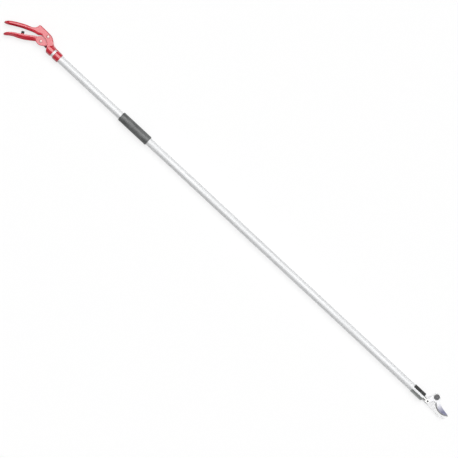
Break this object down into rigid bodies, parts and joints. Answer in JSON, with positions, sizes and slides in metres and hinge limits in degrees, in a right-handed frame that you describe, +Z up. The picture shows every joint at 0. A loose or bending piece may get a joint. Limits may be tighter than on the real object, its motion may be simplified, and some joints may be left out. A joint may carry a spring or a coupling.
{
  "type": "pole pruner",
  "caption": "Long-reach pole pruner: a trigger handle pulls a rod through a round tube with a foam hand sleeve and closes a hooked bypass cutting head.",
  "frame": {"origin": "on the floor, under the middle of the tool's box, with the tool lying on its side", "axes": "+X along the pole from the handle to the cutting head, +Y towards the fulcrum's side of the pole, +Z up, square to the handle's flat cheeks"},
  "size_m": [1.6029, 0.0909, 0.0288],
  "materials": {
    "red_paint": "gloss",
    "satin_aluminium": "satin",
    "cast_aluminium": "matt",
    "grey_foam": "matt",
    "black_plastic": "matt",
    "white_plastic": "matt",
    "black_rubber": "matt",
    "zinc_steel": "satin",
    "bright_steel": "polished",
    "blade_steel": "ground",
    "dark_steel": "blackened",
    "spring_steel": "satin",
    "bronze": "satin"
  },
  "bodies": {
    "pole": {"pole_tube": "satin_aluminium", "foam_sleeve": "grey_foam", "handle_body": "red_paint", "front_collar": "red_paint", "collar_screws": "dark_steel", "fulcrum_pin": "zinc_steel", "side_washers": "white_plastic", "rod_guides": "white_plastic", "rear_bush": "white_plastic", "return_spring": "spring_steel", "head_plug": "cast_aluminium", "ferrule_saddle": "cast_aluminium", "ferrule_cap": "black_plastic", "ferrule_screws": "dark_steel", "hook_blade": "bright_steel", "pivot_bolt": "dark_steel", "pivot_washer": "zinc_steel", "pivot_nut": "dark_steel"},
    "trigger": {"trigger": "red_paint", "fulcrum_bush": "bronze", "stop_bumper": "black_rubber"},
    "rod": {"pull_rod": "dark_steel", "rod_eye": "dark_steel", "rod_locknut": "dark_steel", "rod_pin": "zinc_steel", "pin_washers": "red_paint", "spring_collar": "zinc_steel", "rod_end": "zinc_steel", "blade_pin": "dark_steel"},
    "blade": {"cutting_blade": "blade_steel"}
  },
  "joints": [
    {"name": "trigger_squeeze", "type": "hinge", "parent": "pole", "child": "trigger", "pos_m": [-0.6862, 0.03305, 0.0136], "axis": [0, 0, -1], "range_deg": [0, 11], "stiffness_Nm_per_rad": 1.74, "springref_deg": -25.21},
    {"name": "rod_pull", "type": "slide", "parent": "pole", "child": "rod", "axis": [-1, 0, 0], "range_m": [0, 0.00432], "deforming": ["return_spring"]},
    {"name": "blade_close", "type": "hinge", "parent": "pole", "child": "blade", "pos_m": [0.7444, 0.03575, 0.0136], "axis": [0, 0, -1], "range_deg": [0, 9.82]}
  ],
  "couplings": [
    {"joint": "rod_pull", "follows": "trigger_squeeze", "m_per_rad": 0.0225},
    {"joint": "blade_close", "follows": "trigger_squeeze", "ratio": 0.89286}
  ]
}
